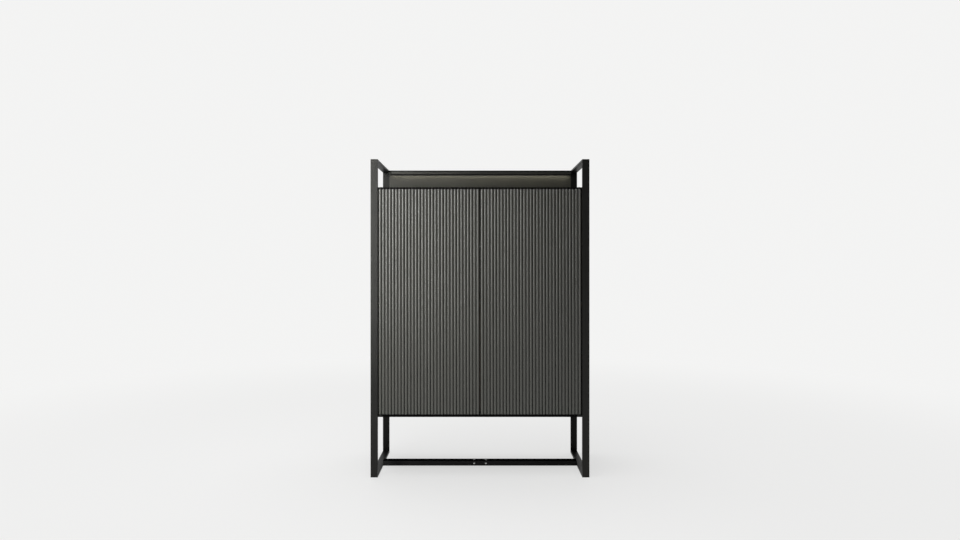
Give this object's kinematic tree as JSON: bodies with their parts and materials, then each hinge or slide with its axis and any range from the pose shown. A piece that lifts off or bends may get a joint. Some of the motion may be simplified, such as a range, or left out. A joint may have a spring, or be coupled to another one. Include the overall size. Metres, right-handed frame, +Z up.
{
  "type": "bar armoire",
  "caption": "Tall bar armoire: a box with vertically reeded push-latch doors, carried between open flat-bar side frames, with an open gallery on top and a floor stretcher.",
  "frame": {"origin": "on the floor, under the middle of the overall box", "axes": "+X to the viewer's right across the front, +Y from front to back, +Z up"},
  "size_m": [1.006, 0.45, 1.463],
  "materials": {
    "frame_steel": "black powder coat, satin",
    "door_lacquer": "olive grey lacquer, satin, over reeded boards",
    "carcass_lacquer": "dark olive grey lacquer, satin",
    "gallery_bronze": "olive bronze lacquer, satin",
    "interior_wood": "smoked oak veneer, oiled",
    "dowel_beech": "raw beech",
    "shelf_glass": "clear float glass",
    "mirror_glass": "grey tinted mirror",
    "bright_steel": "polished",
    "zinc_steel": "zinc plated",
    "bush_brass": "turned",
    "black_plastic": "moulded",
    "grey_plastic": "moulded",
    "diffuser": "opal, lit",
    "glide_felt": "pressed felt",
    "bumper_rubber": "soft"
  },
  "bodies": {
    "cabinet": {"left_front_post": "frame_steel", "left_rear_post": "frame_steel", "left_top_rail": "frame_steel", "left_bottom_rail": "frame_steel", "right_front_post": "frame_steel", "right_rear_post": "frame_steel", "right_top_rail": "frame_steel", "right_bottom_rail": "frame_steel", "floor_glides": "glide_felt", "back_rail": "frame_steel", "stretcher_left": "frame_steel", "stretcher_right": "frame_steel", "stretcher_sleeve": "zinc_steel", "stretcher_screws": "bright_steel", "left_side_panel": "carcass_lacquer", "right_side_panel": "carcass_lacquer", "top_panel": "carcass_lacquer", "bottom_panel": "carcass_lacquer", "mid_shelf": "interior_wood", "lower_divider": "interior_wood", "back_panel": "carcass_lacquer", "gallery_panel": "gallery_bronze", "bar_mirror": "mirror_glass", "carcass_dowels": "dowel_beech", "glass_shelf": "shelf_glass", "shelf_pins": "bright_steel", "lower_left_shelf": "interior_wood", "lower_right_shelf": "interior_wood", "stemware_webs": "interior_wood", "stemware_flanges": "interior_wood", "light_channel": "frame_steel", "light_diffuser": "diffuser", "left_pivot_lugs": "frame_steel", "left_pivot_pins": "frame_steel", "left_pivot_washers": "black_plastic", "right_pivot_lugs": "frame_steel", "right_pivot_pins": "frame_steel", "right_pivot_washers": "black_plastic", "left_latch_body": "black_plastic", "right_latch_body": "black_plastic", "door_bumpers": "bumper_rubber", "tab_screws": "zinc_steel", "frame_tabs": "frame_steel", "back_screws": "zinc_steel"},
    "left_door": {"left_door_panel": "door_lacquer", "left_strike_plate": "bright_steel", "left_pivot_bushes": "bush_brass"},
    "left_plunger": {"left_latch_plunger": "grey_plastic"},
    "right_door": {"right_door_panel": "door_lacquer", "right_strike_plate": "bright_steel", "right_pivot_bushes": "bush_brass"},
    "right_plunger": {"right_latch_plunger": "grey_plastic"}
  },
  "joints": [
    {"name": "left_door_hinge", "type": "hinge", "parent": "cabinet", "child": "left_door", "pos_m": [-0.4573, -0.21, 0.80725], "axis": [0, 0, -1], "range_deg": [0, 90]},
    {"name": "left_plunger_slide", "type": "slide", "parent": "cabinet", "child": "left_plunger", "axis": [0, -1, 0], "range_m": [0, 0.014]},
    {"name": "right_door_hinge", "type": "hinge", "parent": "cabinet", "child": "right_door", "pos_m": [0.4573, -0.21, 0.80725], "axis": [0, 0, 1], "range_deg": [0, 90]},
    {"name": "right_plunger_slide", "type": "slide", "parent": "cabinet", "child": "right_plunger", "axis": [0, -1, 0], "range_m": [0, 0.014]}
  ],
  "couplings": [
    {"joint": "left_plunger_slide", "follows": "left_door_hinge", "m_per_rad": 0.008912},
    {"joint": "right_plunger_slide", "follows": "right_door_hinge", "m_per_rad": 0.008912}
  ]
}
